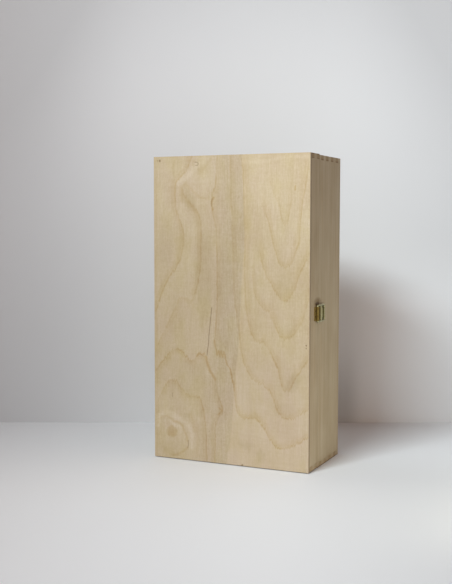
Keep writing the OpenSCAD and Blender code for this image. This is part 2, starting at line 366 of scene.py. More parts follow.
# The veneer's colour, and the tints that multiply it
VENEER = linear(192, 173, 142)
VENEER_PALE, VENEER_DEEP = (1.10, 1.13, 1.19), (0.89, 0.85, 0.78)
VENEER_LINE, VENEER_STAIN = (0.85, 0.76, 0.57), (0.93, 0.89, 0.79)
VENEER_SHADE, VENEER_LIGHT = (0.91, 0.90, 0.85), (1.07, 1.09, 1.14)
VENEER_RUST, VENEER_DARK = (0.87, 0.77, 0.58), (0.42, 0.33, 0.24)
VENEER_FLASH, VENEER_PORE = (1.09, 1.12, 1.19), (0.80, 0.70, 0.54)
STRAW_HUE, ROSY_HUE = (0.985, 0.985, 0.93), (1.0, 0.99, 1.02)
HEARTWOOD, SAPWOOD, LOW_SAPWOOD = (0.93, 0.925, 0.94), (1.025, 1.02, 1.0), (1.0, 1.0, 1.06)
KNOT_TINT, HEART_TINT = (0.87, 0.81, 0.66), (0.97, 0.94, 0.90)
# Tints of painted light, which make the front paler towards its top and towards its foot
PAINTED_TOP_LIGHT, PAINTED_FOOT_LIGHT = (1.10, 1.10, 1.10), (1.035, 1.035, 1.045)

# Heights over which painted light makes the front paler, towards its top and towards its foot,
# and over which its right part grows plainer
PAINTED_TOP_LIGHT_RISE, PAINTED_FOOT_LIGHT_RISE, LOW_SAPWOOD_RISE = (190, 345), (110, 20), (150, 90)

# Noise that all the veneer has, each layer as (cell, detail, roughness, share). The fine layers
# are fibres, flecks and mottle, and the broad ones are bands, clouds and ripples.
FINE_GRAIN = [
    ((0.8, 5.0, 34.0), 3.0, 0.65, 1.3),
    ((0.9, 3.0, 7.0), 3.0, 0.65, 0.9),
    ((2.4, 4.0, 1.7), 2.0, 0.6, 0.75),
]
BROAD_GRAIN = [
    ((7.0, 9.0, 190.0), 2.0, 0.5, 0.4),
    ((28.0, 30.0, 42.0), 3.0, 0.5, 0.9),
    ((24.0, 24.0, 3.2), 2.0, 0.5, 0.35),
]

# Grain sizes of the veneer's other noises, along x, y and z
DRIFT_CELL, JITTER_CELL, TEETH_CELL = (14, 14, 22), (2.2, 2.2, 4.0), (1.2, 2.0, 26.0)
PRESENCE_CELL, BREAK_CELL = (12, 12, 26), (1.6, 3.0, 2.6)
THREAD_CELL, HUE_CELL = (0.55, 3.0, 60.0), (16.0, 20.0, 30.0)
PORE_CELL, RELIEF_CELL, PLY_CELL = (0.45, 2.0, 4.5), (0.3, 1.0, 8.0), (0.35, 0.35, 0.9)

# How far noise moves the front's figure: a wide drift, a small jitter, and teeth in its lines
DRIFT_X, DRIFT_Z = 2.4, 4.0
JITTER_X, JITTER_Z = 1.5, 2.0
TEETH = 10.0
STROKE_JITTER, KNOT_JITTER = 1.6, 5.0

# Ring lines of the veneer, each as (points, strength, side on which its stain lies).
# x counts from the panel's left edge and z from its bottom edge. Arches run from left to right,
# as (x, z), and runs go from bottom to top, as (z, x).
ARCHES = [
    ([(140, 312), (152, 282), (157.5, 264), (164, 284), (168, 302)], 0.45, 1),
    ([(132, 285), (138.7, 268), (147.5, 236), (158, 219.7), (172.5, 243), (177, 282), (184, 324)],
     0.7, 1),
    ([(129, 236), (136, 212), (147.5, 194), (158, 184), (167.5, 193), (175, 213), (185, 233)],
     0.75, 1),
    ([(121, 209), (126, 184), (140, 170), (160, 142.7), (175, 157), (186, 187)], 0.8, 1),
    ([(116, 160), (119, 148), (125, 139), (133.7, 137), (150, 111), (160, 86.5), (172.5, 104),
      (186, 123)], 0.8, 1),
    ([(107, 132), (111, 114), (120, 99), (140, 86.5), (152, 62), (162.5, 56.5), (186, 69)], 0.8, 1),
    ([(96, 101), (100, 82), (104, 59), (112.5, 53), (122.5, 54), (135, 45), (142, 33), (155, 24),
      (186, 38)], 1.0, 1),
    ([(1, 98), (14, 114), (30, 125), (47.5, 113), (57.5, 121), (65, 116)], 0.9, -1),
    ([(1, 52), (8, 72), (23.7, 89), (42, 74), (55, 73.5), (62, 58)], 0.7, -1),
    ([(1, 122), (15, 149), (27, 171), (34, 183), (39, 183), (46, 179.7), (51, 187)], 0.6, -1),
]
RUNS = [
    ([(137, 75.5), (169, 78.2), (219, 78.7), (256, 77.5), (281, 73.2), (294, 72.5), (306, 76),
      (340, 79)], 0.75, 1),
    ([(0, 76), (32, 76), (52, 80.5), (59, 85), (78, 79), (94, 76.5)], 0.8, -1),
    ([(130, 107), (161, 103.7), (184, 99.5), (250, 97), (340, 93.7)], 0.6, 1),
    ([(155, 116.5), (180, 113), (256, 111.2), (300, 110), (329, 108.5), (340, 105)], 0.6, 1),
    ([(0, 66), (32, 65), (54, 62.5), (68, 58)], 0.7, -1),
    ([(186, 51), (205, 56), (224, 58.7), (262, 58.7), (289, 46), (298, 38), (306, 36)], 0.8, -1),
    ([(164, 1), (199, 15), (229, 34), (252, 37.5), (281, 28), (300, 26.5), (311, 28), (317, 34),
      (325, 41), (340, 48)], 0.8, -1),
    ([(0, 3.4), (120, 3.2), (250, 3.6), (318, 3.8)], 0.35, -1),
]
LINE_WIDTH, STAIN_REACH = 0.85, 10.0

# The right edge of the greyer heartwood band, as (z, x), how far that edge is blurred on either
# side, and how far the band fades to the left
BAND_EDGE = [(0, 90), (31, 95), (94, 100), (130, 104), (200, 108), (256, 111), (340, 108)]
BAND_BLUR, BAND_FADE = 1.2, 50.0

# Lines that turn back on themselves, as (places, half width, strength)
RUSTY_STROKES = [
    ([(75.5, 137), (76.3, 130.5), (78.6, 120.5), (80.2, 126), (81.8, 119), (83.4, 126),
      (85.1, 118.5), (86.6, 125), (88, 121), (89, 116.5), (90.7, 111), (94, 107), (96.2, 99.5),
      (97.5, 91)], 0.8, 1.0),
    ([(65, 118), (67, 110.5), (69.5, 103.5), (74, 97), (76.4, 94)], 1.6, 1.0),
    ([(54, 118), (56.5, 122), (60, 119.5), (63, 122.5), (65, 116)], 0.8, 0.8),
    ([(75.3, 136.5), (76.2, 130.5)], 1.3, 0.8),
    ([(59.8, 64.6), (62.3, 56.4), (62.8, 48)], 1.0, 0.35),
    ([(81.2, 62), (84.2, 59), (80.2, 54.6)], 0.9, 0.8),
    ([(74.1, 294), (71.7, 290), (71.7, 285), (73, 281)], 1.1, 1.0),
    ([(41.8, 13.8), (38.1, 10.4), (33.9, 7.3), (28.6, 4.7), (23, 3)], 1.2, 0.5),
    ([(24, 42.3), (28.7, 42), (35.1, 38.9), (37.2, 33.4), (40.3, 28), (42.4, 20.6)], 1.2, 0.5),
    ([(4.1, 39), (5.7, 43), (9.5, 46), (16, 47.8), (20.2, 45.8), (24, 42.3)], 1.1, 0.3),
    ([(169.6, 305.5), (169.2, 301)], 0.7, 1.0),
]
SOFT_STROKES = [
    ([(35.2, 290), (35.7, 305.3), (38.8, 308.7), (44.3, 305.8), (51.1, 299.6), (57.9, 294),
      (68.7, 292.7)], 1.6, 0.5),
    ([(37.3, 298), (41.4, 291.7), (47, 285.6), (54, 277)], 1.6, 0.5),
    ([(73, 338.5), (64.8, 327.8), (56.6, 320)], 1.6, 0.4),
    ([(27.8, 338.5), (24.3, 328)], 1.6, 0.4),
    ([(54.5, 40), (54.4, 6)], 2.0, 0.5),
    ([(46, 52), (49.5, 44), (51, 34)], 3.0, 0.6),
    ([(8, 34), (6, 24), (9, 12), (20, 4)], 3.5, 0.3),
]
PALE_STROKES = [
    ([(4.5, 36), (5.2, 46.9), (12.8, 52), (20.3, 51), (28.8, 47), (38.3, 43), (44.6, 37.9),
      (47.5, 30), (47.6, 14)], 2.8, 1.0),
    ([(19.7, 43), (25.5, 38.5), (32, 37), (33.5, 31)], 2.0, 0.8),
    ([(30, 311), (42, 317), (52, 328), (64, 336)], 3.2, 0.9),
    ([(66.3, 120), (66, 100), (68, 92)], 1.8, 0.4),
    ([(108, 332), (130, 331), (148, 335), (184, 336)], 2.0, 0.6),
]
DARK_STROKES = [
    ([(72, 173), (70.4, 160), (69.9, 154), (68.5, 142), (68.3, 136), (66.2, 120)], 0.5, 0.75),
    ([(72.4, 293), (71.6, 289.5), (71.6, 285)], 0.7, 0.3),
    ([(42.6, 22), (43, 17), (42, 13.3)], 0.45, 0.6),
    ([(7.6, 335.9), (7.7, 335.1)], 0.95, 1.0), ([(4.9, 335.7), (5.0, 335.4)], 0.75, 0.5),
    ([(51.6, 333), (54.2, 332.8), (55.7, 331.2), (54.8, 329.5), (52.3, 329.4)], 0.55, 0.55),
    ([(182.7, 137), (182.8, 136.8)], 0.75, 1.0), ([(182.7, 134), (182.8, 133.8)], 0.7, 0.8),
    ([(22.6, 74.5), (23, 70)], 0.5, 0.4), ([(69.1, 34.9), (69.2, 34.7)], 0.6, 0.35),
    ([(108.6, 0.2), (109.4, 0.9)], 0.9, 1.0),
]

# Soft ovals of darker and of lighter wood, as (middle, half size, tilt in degrees, strength)
SHADE_PATCHES = [
    ((15, 243), (9, 26), 0, 0.6), ((62, 212), (12, 52), 0, 1.0), ((43, 292), (7, 14), 28, 0.9),
    ((56, 272), (12, 14), 35, 0.4), ((46, 92), (15, 19), 0, 0.55), ((113, 24), (9, 5), -10, 0.8),
    ((131, 13), (6, 8), 15, 0.8), ((168, 96), (7, 14), -35, 1.0), ((88, 190), (12, 60), 0, 0.4),
    ((22, 12), (26, 11), 0, 0.35), ((41, 50.5), (4, 3), 0, 0.9), ((26, 4.5), (5, 3), 0, 0.9),
    ((157, 200), (10, 14), 0, 0.3), ((160, 152), (9, 10), 0, 0.4), ((158, 65), (14, 8), 0, 0.3),
]
LIGHT_PATCHES = [
    ((58, 311), (15, 13), 30, 0.8), ((38, 322), (12, 10), 45, 0.5), ((150, 305), (36, 30), 0, 0.5),
    ((126, 320), (9, 26), 0, 0.5), ((172, 250), (12, 30), -10, 0.4), ((120, 120), (12, 30), 0, 0.3),
    ((108, 60), (8, 26), 0, 0.4), ((30, 68), (12, 8), 0, 0.35), ((185, 246), (10, 34), 0, 1.0),
]
KNOT, KNOT_SIZE = (22.2, 30.4), (7.2, 7.2)
HEART, HEART_SIZE = (22.0, 28.6), (5.0, 4.2)

# Depths in a three-ply panel: its two glue lines, and where its core starts and ends
GLUE_LINES, GLUE_WIDTH = (1.28, 2.72), 0.1
CORE_START, CORE_END = (1.2, 1.35), (2.8, 2.65)
ACROSS_PLY, ACROSS_FIBRE = (0.78, 0.75, 0.70), (0.75, 0.69, 0.60)
GLUE, JOINT_DARKENING = (0.5, 0.4, 0.3), (0.38, 0.33, 0.29)
FRONT_JOINT, BACK_JOINT, BACK_JOINT_SHARE = (2.9, 3.5), (0.7, 0.3), 0.5

# Which way a face looks, by the share of its direction along an axis
LEVEL_EDGE, SAWN_EDGE, INNER_FACE, SAWN_END = (0.4, 0.6), (0.7, 0.5), (0.5, 0.7), (0.6, 0.8)

# Flames of plain veneer: curves FLAME_STEP apart up a middle line, which climb FLAME_CLIMB steps
# within FLAME_WIDTH on either side of it, and how far noise moves them and the grain
FLAME_MIDDLE, FLAME_WIDTH, FLAME_CLIMB, FLAME_STEP = -12.0, 26.0, 3.4, 62.0
FLAME_DRIFT_X, FLAME_DRIFT_Z, FLAME_JITTER, GRAIN_DRIFT = 30.0, 60.0, 0.10, 2.4
FLAME_DRIFT_CELL, FLAME_JITTER_CELL = (20, 20, 70), (2.2, 2.2, 5.0)
FLAME_PRESENCE_CELL = (16, 16, 40)

# The line and the stain of a flame, by their soft limits as shares of the way to the next one
FLAME_LINE, FLAME_STAIN = ((0.0, 0.02), (0.07, 0.03)), ((0.0, 0.03), (0.35, 0.05))


def ring_lines(paint, x, z):
    """How strongly a ring line shows, and how strongly the stain beside it does."""
    line = stain = 0.0
    for drawn, along, across, reach, top in ((ARCHES, x, z, PANEL_W, PANEL_H),
                                             (RUNS, z, x, PANEL_H, PANEL_W)):
        for points, strength, side in drawn:
            here = paint.curve(along, points, reach, top)
            ahead = paint.curve(along + RING_STEP, points, reach, top)
            first, last = min(points)[0], max(points)[0]
            drawn_line, drawn_stain = paint.step(RING, along, across, here, ahead, first, last,
                                                 LINE_WIDTH, STAIN_REACH, side)
            line = (drawn_line * strength).at_least(line)
            stain = (drawn_stain * strength).at_least(stain)
    return line, stain


def strokes(paint, point, drawn):
    """The strongest of the drawn strokes at a point."""
    total = 0.0
    for places, width, strength in drawn:
        total = (paint.stroke(point, places, width) * strength).at_least(total)
    return total


def patches(paint, point, drawn):
    """The strongest of the drawn ovals at a point."""
    total = 0.0
    for middle, half_size, tilt, strength in drawn:
        total = (paint.patch(point, middle, half_size, tilt) * strength).at_least(total)
    return total


def plies(paint, place, facing, colour, low_y, joint):
    """The sawn edges of a three-ply panel: long grain, end grain and long grain, and two glue
    lines. The plies swap their grain between the upright edges and the level ones. joint gives,
    for a depth in the panel, how much darker its edge is where the panel meets the frame."""
    depth = place[Y] - low_y
    core = depth.within(CORE_START, CORE_END)
    level = facing[Z].size().rise(*LEVEL_EDGE)
    across = core + level - core * level * 2
    fibre = paint.noise(place, PLY_CELL).rise(0.35, 0.65)
    ply = paint.stain(VENEER, across, ACROSS_PLY)
    ply = paint.stain(ply, across * fibre * 0.5, ACROSS_FIBRE)
    near_glue, far_glue = [(depth - line).bell(GLUE_WIDTH) for line in GLUE_LINES]
    ply = paint.stain(ply, near_glue.at_least(far_glue) * 0.7, GLUE)
    ply = paint.stain(ply, joint(depth), JOINT_DARKENING)
    return paint.mix(facing[Y].size().rise(*SAWN_EDGE), colour, ply)


def layered(paint, place, layers):
    """The sum of noise layers, around 0."""
    total = 0.0
    for cell, detail, roughness, share in layers:
        total = (paint.noise(place, cell, detail, roughness) - 0.5) * share + total
    return total


def veneer_grain(paint, place, strength=1.0):
    """Fibres, flecks and cloudiness that all rotary-cut veneer has, as a shade around 0.5.
    strength is that of the fine grain."""
    fine = layered(paint, place, FINE_GRAIN) * strength
    return fine + layered(paint, place, BROAD_GRAIN) + 0.5


def tinted(colour, tint):
    """A colour multiplied by a tint."""
    return tuple(a * b for a, b in zip(colour, (*tint, 1.0)))


def shaded(paint, shade):
    """The veneer's colour for a shade, from deep at 0 to pale at 1."""
    return paint.mix(shade, tinted(VENEER, VENEER_DEEP), tinted(VENEER, VENEER_PALE))


def flamed(paint, place):
    """Plain veneer with long flames up its middle."""
    px, py, pz = place
    drift = paint.noise(place, FLAME_DRIFT_CELL, 3.0) - 0.5
    jitter = paint.noise(place, FLAME_JITTER_CELL) - 0.5
    aside = (px + drift * FLAME_DRIFT_X - FLAME_MIDDLE) / FLAME_WIDTH
    flame = aside.squared() * FLAME_CLIMB - (pz + drift * FLAME_DRIFT_Z) / FLAME_STEP
    share = (flame + jitter * FLAME_JITTER).fraction()
    line = share.within(*FLAME_LINE)
    stain = share.within(*FLAME_STAIN)
    presence = paint.noise(place, FLAME_PRESENCE_CELL, 3.0).rise(0.35, 0.6).lifted(0.3)
    colour = shaded(paint, veneer_grain(paint, (px + drift * GRAIN_DRIFT, py, pz)))
    colour = paint.stain(colour, stain * 0.5, VENEER_STAIN)
    return paint.stain(colour, line * presence * 0.8, VENEER_LINE)


def veneer_surface(paint, place, colour):
    """Finishes a veneered sheet's material: open pores and a slight relief."""
    pores = paint.noise(place, PORE_CELL, 1.0).rise(0.66, 0.78)
    colour = paint.stain(colour, pores * 0.35, VENEER_PORE)
    grain = paint.noise(place, RELIEF_CELL, 3.0, 0.6)
    normal = paint.relief(grain * VENEER_RELIEF)
    return paint.surface(colour, grain * 0.15 + 0.5, normal, specular=DULL)


def back_veneer():
    """The back panel's veneer, which is plain on both faces."""
    paint = Paint("back_veneer")
    place = paint.place()
    colour = plies(paint, place, paint.facing(), flamed(paint, place), LOW["back_panel"][Y],
                   lambda depth: depth.rise(*BACK_JOINT) * BACK_JOINT_SHARE)
    return veneer_surface(paint, place, colour)


def veneer_ground(paint, spot, bent, stain):
    """The front's wood without its lines: sapwood on the right of the band's edge, which is
    plainer and less yellow low down, and greyer heartwood on the left of it. stain is how strongly
    the ring lines' stain shows."""
    x, y, z = spot
    edge = bent[X] - paint.curve(bent[Z], BAND_EDGE, PANEL_H, PANEL_W)
    sapwood = edge.rise(-BAND_BLUR, BAND_BLUR)
    heartwood = edge.rise(BAND_BLUR, -BAND_BLUR) * edge.rise(-BAND_FADE, -BAND_FADE / 3)
    low_sapwood = sapwood * z.rise(*LOW_SAPWOOD_RISE)
    shade = veneer_grain(paint, (bent[X], y, z), heartwood * 0.35 - low_sapwood * 0.35 + 1.0)
    threads = paint.noise(spot, THREAD_CELL, 1.0) * heartwood * 0.5
    colour = shaded(paint, shade + threads - heartwood * 0.25)
    colour = paint.stain(colour, stain * 0.65, VENEER_STAIN)
    hue = paint.noise(spot, HUE_CELL, 3.0)
    colour = paint.stain(colour, hue.rise(0.5, 0.66), STRAW_HUE)
    colour = paint.stain(colour, hue.rise(0.5, 0.34), ROSY_HUE)
    colour = paint.stain(colour, heartwood, HEARTWOOD)
    colour = paint.stain(colour, sapwood, SAPWOOD)
    return paint.stain(colour, low_sapwood, LOW_SAPWOOD)


def veneer_figure(paint, colour, wavy, shaky, line, broken):
    """Draws the front's patches, ring lines and strokes on its wood. wavy and shaky are the point
    as the patches and the strokes see it, and broken is where a line is whole."""
    colour = paint.stain(colour, patches(paint, wavy, SHADE_PATCHES), VENEER_SHADE)
    colour = paint.stain(colour, patches(paint, wavy, LIGHT_PATCHES), VENEER_LIGHT)
    colour = paint.stain(colour, strokes(paint, shaky, PALE_STROKES), VENEER_FLASH)
    colour = paint.stain(colour, strokes(paint, shaky, SOFT_STROKES), VENEER_STAIN)
    colour = paint.stain(colour, line * broken, VENEER_LINE)
    rust = strokes(paint, shaky, RUSTY_STROKES) * broken.lifted(0.4)
    return paint.stain(colour, rust, VENEER_RUST)


def veneer_knot(paint, colour, point):
    """The small knot low on the left, with its heart."""
    knot = paint.patch(point, KNOT, KNOT_SIZE, 0)
    heart = paint.patch(point, HEART, HEART_SIZE, 0)
    colour = paint.stain(colour, knot.rise(0.1, 0.8) * 0.8, KNOT_TINT)
    return paint.stain(colour, heart, HEART_TINT)


def front_veneer():
    """Rotary-cut birch: flame-shaped arches on the right, loops round a knot on the left."""
    paint = Paint("front_veneer")
    place = paint.place()
    spot = (place[X] - LOW["front_panel"][X], place[Y], place[Z] - LOW["front_panel"][Z])
    x, y, z = spot
    drift = paint.noise(spot, DRIFT_CELL, 3.0) - 0.5
    jitter = paint.noise(spot, JITTER_CELL) - 0.5
    teeth = paint.noise(spot, TEETH_CELL, 1.0) - 0.5
    bent = (x + drift * DRIFT_X + jitter * JITTER_X, y,
            z + drift * DRIFT_Z + jitter * JITTER_Z + teeth * TEETH)
    wavy = paint.join(bent[X], 0, bent[Z])
    shaky = paint.join(x + jitter * STROKE_JITTER, 0, z + jitter * STROKE_JITTER)
    presence = paint.noise(spot, PRESENCE_CELL, 3.0).rise(0.3, 0.62).lifted(0.3)
    broken = paint.noise(spot, BREAK_CELL).rise(0.25, 0.55).lifted(0.45)
    line, stain = ring_lines(paint, bent[X], bent[Z])

    colour = veneer_ground(paint, spot, bent, stain)
    colour = veneer_figure(paint, colour, wavy, shaky, line * presence, broken)
    blotchy = paint.join(x + jitter * KNOT_JITTER, 0, z + jitter * KNOT_JITTER)
    colour = veneer_knot(paint, colour, blotchy)
    marks = strokes(paint, paint.join(x, 0, z), DARK_STROKES)
    colour = paint.stain(colour, marks, VENEER_DARK)
    # Painted light: the front is paler towards its top and towards its foot
    colour = paint.stain(colour, z.rise(*PAINTED_TOP_LIGHT_RISE), PAINTED_TOP_LIGHT)
    colour = paint.stain(colour, z.rise(*PAINTED_FOOT_LIGHT_RISE), PAINTED_FOOT_LIGHT)
    facing = paint.facing()
    colour = paint.mix(facing[Y].rise(*INNER_FACE), colour, flamed(paint, place))
    colour = plies(paint, place, facing, colour, LOW["front_panel"][Y],
                   lambda depth: depth.rise(*FRONT_JOINT))
    return veneer_surface(paint, place, colour)


# ---------------------------------------------------------------- solid boards

# The boards' colours, and the tints that multiply them
BOARD_PALE, BOARD_DEEP = linear(193, 179, 148), linear(172, 153, 118)
BOARD_RUST, BOARD_PORE = (1.0, 0.97, 0.93), (0.8, 0.70, 0.55)
END_GRAIN, PALE_END_GRAIN, END_RINGS = (0.84, 0.76, 0.64), (0.93, 0.90, 0.85), (0.86, 0.80, 0.70)
# Darkening along a top end's edges, and painted light low and towards the front of the right face
EDGE_DARKENING, PAINTED_LOW_LIGHT = (0.72, 0.64, 0.54), (1.09, 1.09, 1.11)
# Painted shade towards the floor, and a painted shadow along a board's foot
PAINTED_FOOT_SHADE, PAINTED_FOOT_SHADOW = (0.88, 0.84, 0.79), (0.50, 0.42, 0.34)

# Sizes of the marks that run with a board's grain, across it and along it, and the grain sizes of
# its other noises, along x, y and z
FIBRE_SIZE, STREAK_SIZE, BAND_SIZE = (1.3, 50), (3.6, 90), (11, 160)
FLECK_SIZE, RUST_SIZE, PORE_SIZE = (1.0, 9), (12, 150), (0.5, 6)
CLOUD_CELL, YEAR_RING_CELL, SPECKLE_CELL = (40, 40, 60), (9.0, 9.0, 0.8), (0.4, 0.4, 0.4)

BOARD_T = HIGH["base_bottom_end"][Z] - LOW["base_bottom_end"][Z]
TOP, RIGHT = cad_high[Z] / MM, HIGH["base_right_side"][X]

# Where a look starts and where it is complete: darkening along both edges of a top end, the box's
# right face, the part of it low and towards the front where light is painted, and the foot, where
# shade and a shadow along the floor are painted
DARKENING_BELOW, DARKENING_ABOVE = (TOP - BOARD_T + 0.9, TOP - BOARD_T + 0.3), (TOP - 1.5, TOP - 0.6)
RIGHT_FACE = (RIGHT - 3.0, RIGHT - 1.0)
LOW_LIGHT_FRONT, LOW_LIGHT_HEIGHT = (25, -45), (190, 70)
FOOT_H, FOOT_SHADOW_H = 10.0, 1.3

# Painted shadow on the wood above the latch, with finger grime in it, as (middle, half size,
# tint), with (y, z) places
PAINTED_LATCH_SHADOW = [
    ((-25, 182), (11, 5), (0.62, 0.54, 0.42)),
    ((-25.5, 180.8), (7, 2), (0.48, 0.42, 0.34)),
]


def board_grain(paint, place, along):
    """Straight grain along one axis: its colour, and its fibres and flecks, around 0."""
    def noise(size, detail=2.0, roughness=0.5):
        thickness, length = size
        cell = [thickness] * 3
        cell[along] = length
        return paint.noise(place, cell, detail, roughness) - 0.5

    fibres = noise(FIBRE_SIZE, 3.0, 0.65)
    streaks = noise(STREAK_SIZE)
    bands = noise(BAND_SIZE)
    flecks = noise(FLECK_SIZE)
    clouds = paint.noise(place, CLOUD_CELL) - 0.5
    shade = fibres * 0.8 + streaks * 0.7 + bands * 1.1 + flecks * 0.45 + clouds * 1.4 + 0.5
    colour = paint.mix(shade, BOARD_DEEP, BOARD_PALE)
    colour = paint.stain(colour, noise(RUST_SIZE).rise(0.0, 0.25), BOARD_RUST)
    pores = (noise(PORE_SIZE, 1.0) + 0.5).rise(0.64, 0.76)
    return paint.stain(colour, pores * 0.3, BOARD_PORE), fibres, flecks


def end_grain(paint, colour, place, name, cut, height):
    """Year rings and speckle where cut is 1. A bottom end is paler, and a top end is darker along
    its edges, which are found by height."""
    rings = paint.noise(place, YEAR_RING_CELL).rise(0.4, 0.6)
    speckle = paint.noise(place, SPECKLE_CELL, 1.0).rise(0.4, 0.7)
    colour = paint.stain(colour, cut, PALE_END_GRAIN if "bottom" in name else END_GRAIN)
    if "top_end" in name:
        darker_edges = height.rise(*DARKENING_BELOW).at_least(height.rise(*DARKENING_ABOVE))
        colour = paint.stain(colour, cut * darker_edges, EDGE_DARKENING)
    return paint.stain(colour, cut * (rings * 0.5 + speckle * 0.3), END_RINGS)


def painted_light_and_shade(paint, colour, place, name):
    """Light and shade painted on a board: light low on the front of its right face, shade towards
    its foot and a shadow along it, and on a right side the latch's shadow, with finger grime in it.
    """
    px, py, pz = place
    # Painted light, low and towards the front of the right face
    low_light = px.rise(*RIGHT_FACE) * py.rise(*LOW_LIGHT_FRONT) * pz.rise(*LOW_LIGHT_HEIGHT)
    colour = paint.stain(colour, low_light, PAINTED_LOW_LIGHT)
    # Painted shade towards the floor, and a painted shadow where the board meets it
    colour = paint.stain(colour, pz.rise(FOOT_H, 0), PAINTED_FOOT_SHADE)
    colour = paint.stain(colour, pz.rise(FOOT_SHADOW_H, FOOT_SHADOW_H / 3), PAINTED_FOOT_SHADOW)
    # Painted shadow above the latch, with finger grime in it
    if "right_side" in name:
        for middle, half_size, tint in PAINTED_LATCH_SHADOW:
            latch_shadow = paint.patch(paint.join(py, 0, pz), middle, half_size, 0)
            colour = paint.stain(colour, latch_shadow * px.rise(*RIGHT_FACE), tint)
    return colour


def board_wood(name, along, seed):
    """Solid board with straight grain along one axis, and end grain on the faces across it. seed
    shifts the grain, so that no two boards look the same."""
    paint = Paint(name)
    place = paint.place()
    shifted = [value + seed for value in place]
    colour, fibres, flecks = board_grain(paint, shifted, along)
    cut = paint.facing()[along].size().rise(*SAWN_END)
    colour = end_grain(paint, colour, shifted, name, cut, place[Z])
    colour = painted_light_and_shade(paint, colour, place, name)
    normal = paint.relief(fibres * FIBRE_RELIEF + flecks * FLECK_RELIEF)
    return paint.surface(colour, fibres * 0.2 + 0.6, normal, specular=DULL)


# ---------------------------------------------------------------- metal

# Tints of tarnish spots, and of the shade painted on the latch plate's barrel
SPOT, PAINTED_BARREL_SHADE = (0.55, 0.45, 0.35), (0.70, 0.68, 0.64)
TARNISH_CELL, BRUSHED_CELL, SPOT_CELL = (2.6, 2.6, 2.6), (0.3, 0.3, 1.6), (0.5, 0.5, 0.5)

# How far out, along x, the latch plate's flat part ends and its barrel starts
BARREL_START = LOW["latch_plate"][X] + 1.0


def brass(name, colour, tarnish, gloss, shade_from=None):
    """Thin brass plating, clouded by handling: the tarnish darkens it and takes its gloss. Shade is
    painted on what stands out past shade_from, on the right side of the box."""
    paint = Paint(name)
    place = paint.place()
    cloud = paint.noise(place, TARNISH_CELL, 3.0, 0.6).rise(0.35, 0.65)
    brushed = paint.noise(place, BRUSHED_CELL, 3.0)
    spots = paint.noise(place, SPOT_CELL, 1.0).rise(0.62, 0.72)
    colour = paint.stain(colour, cloud, tarnish)
    colour = paint.stain(colour, spots * 0.6, SPOT)
    # Painted shade on the latch plate's barrel
    if shade_from:
        colour = paint.stain(colour, place[X].rise(shade_from, shade_from + 0.5), PAINTED_BARREL_SHADE)
    roughness = brushed * 0.25 + cloud * 0.12 + (0.6 - gloss)
    return paint.surface(colour, roughness, paint.relief(brushed * BRASS_RELIEF), metallic=1.0)


# ---------------------------------------------------------------- every node's material

# How far a sawn edge is eased, in how many steps, and how sharp it has to be, in degrees
EDGE_WEAR, EDGE_STEPS, EDGE_ANGLE = 0.25, 2, 40

# Each board as (node, the axis its grain runs along, seed)
BOARDS = (("lid_left_side", Z, 11), ("lid_right_side", Z, 23), ("base_left_side", Z, 37),
          ("base_right_side", Z, 41), ("bottle_divider", Z, 53), ("lid_top_end", X, 61),
          ("lid_bottom_end", X, 71), ("base_top_end", X, 83), ("base_bottom_end", X, 97))


def ease_edges(name):
    """Rounds a board's sawn edges a little, as sandpaper does."""
    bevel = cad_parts[name].modifiers.new("eased_edges", "BEVEL")
    bevel.width = EDGE_WEAR * MM
    bevel.segments = EDGE_STEPS
    bevel.limit_method = "ANGLE"
    bevel.angle_limit = math.radians(EDGE_ANGLE)


def dress_wood():
    """Gives the panels and the boards their material and their eased edges."""
    wear("front_panel", front_veneer())
    wear("back_panel", back_veneer())
    for name, along, seed in BOARDS:
        wear(name, board_wood(name + "_wood", along, seed))
    for name in ("front_panel", "back_panel", *(board[0] for board in BOARDS)):
        ease_edges(name)


def dress_metal():
    """Gives the hinges and the latch their brass, and all nails and pins a dark one."""
    sheet = brass("sheet_brass", linear(190, 168, 108), tarnish=(0.80, 0.74, 0.62), gloss=0.38)
    plate = brass("plate_brass", linear(176, 154, 92), tarnish=(0.78, 0.72, 0.60), gloss=0.18,
                  shade_from=BARREL_START)
    wire = brass("wire_brass", linear(184, 178, 138), tarnish=(0.84, 0.82, 0.74), gloss=0.45)
    nails = brass("nail_brass", linear(96, 74, 48), tarnish=(0.70, 0.62, 0.50), gloss=0.3)
    metals = {"hinge": sheet, "latch_plate": plate, "catch_plate": wire, "latch_bail": wire}
    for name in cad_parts:
        for part, metal in metals.items():
            if part in name:
                wear(name, nails if "nails" in name or "pin" in name else metal)


dress_wood()
dress_metal()


# ---------------------------------------------------------------- camera, floor, wall and light

SENSOR, LENS = 36.0, 59.80
CAMERA_POINT = Vector((438.0, -1012.1, 268.1))
CAMERA_TURN, CAMERA_DROP, CAMERA_ROLL = (math.radians(a) for a in (-24.663, 4.122, 0.052))
SIGHT_START, SIGHT_END = 10.0, 20000.0
WALL_AWAY, STAGE_SIZE = 1285.0, 4000.0

# Level directions: the way the camera looks, and to the right of it
HEADING = Vector((math.sin(CAMERA_TURN), math.cos(CAMERA_TURN), 0))
SIDEWAYS = Vector((math.cos(CAMERA_TURN), -math.sin(CAMERA_TURN), 0))


def turned_down(direction, drop):
    """A level direction after it has been turned down by an angle."""
    return direction * math.cos(drop) - Vector((0, 0, math.sin(drop)))


